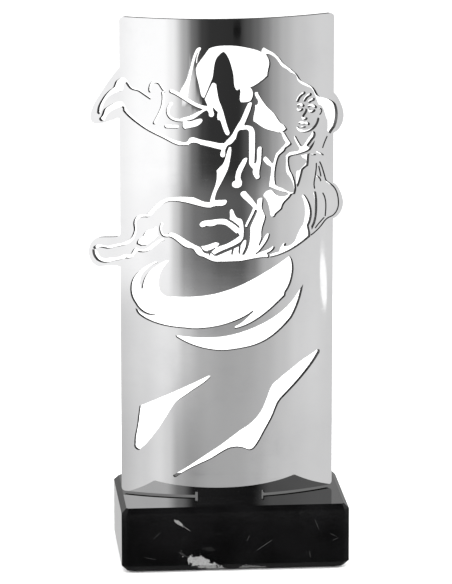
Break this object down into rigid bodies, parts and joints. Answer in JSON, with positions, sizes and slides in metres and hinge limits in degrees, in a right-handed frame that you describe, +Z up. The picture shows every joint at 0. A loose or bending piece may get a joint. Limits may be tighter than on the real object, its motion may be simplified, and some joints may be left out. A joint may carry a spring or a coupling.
{
  "type": "figure trophy",
  "caption": "Free-standing award: a curved mirror-polished steel plate cut with a line figure in a throw, set in a bevelled black marble block.",
  "frame": {"origin": "centre of the felt pad's underside, on the table and under the middle of the marble block", "axes": "+Z up, -Y towards the front (the side the plate bulges to), +X to the viewer's right"},
  "size_m": [0.1118, 0.06, 0.2423],
  "materials": {
    "mirror_steel": "mirror-polished stainless steel",
    "black_marble": "polished black marble with a few white veins",
    "black_epoxy": "black casting epoxy, cured flush",
    "felt": "black wool felt"
  },
  "bodies": {
    "root": {"figure_sheet": "mirror_steel", "marble_base": "black_marble", "epoxy_fill": "black_epoxy", "felt_pad": "felt"}
  },
  "joints": []
}
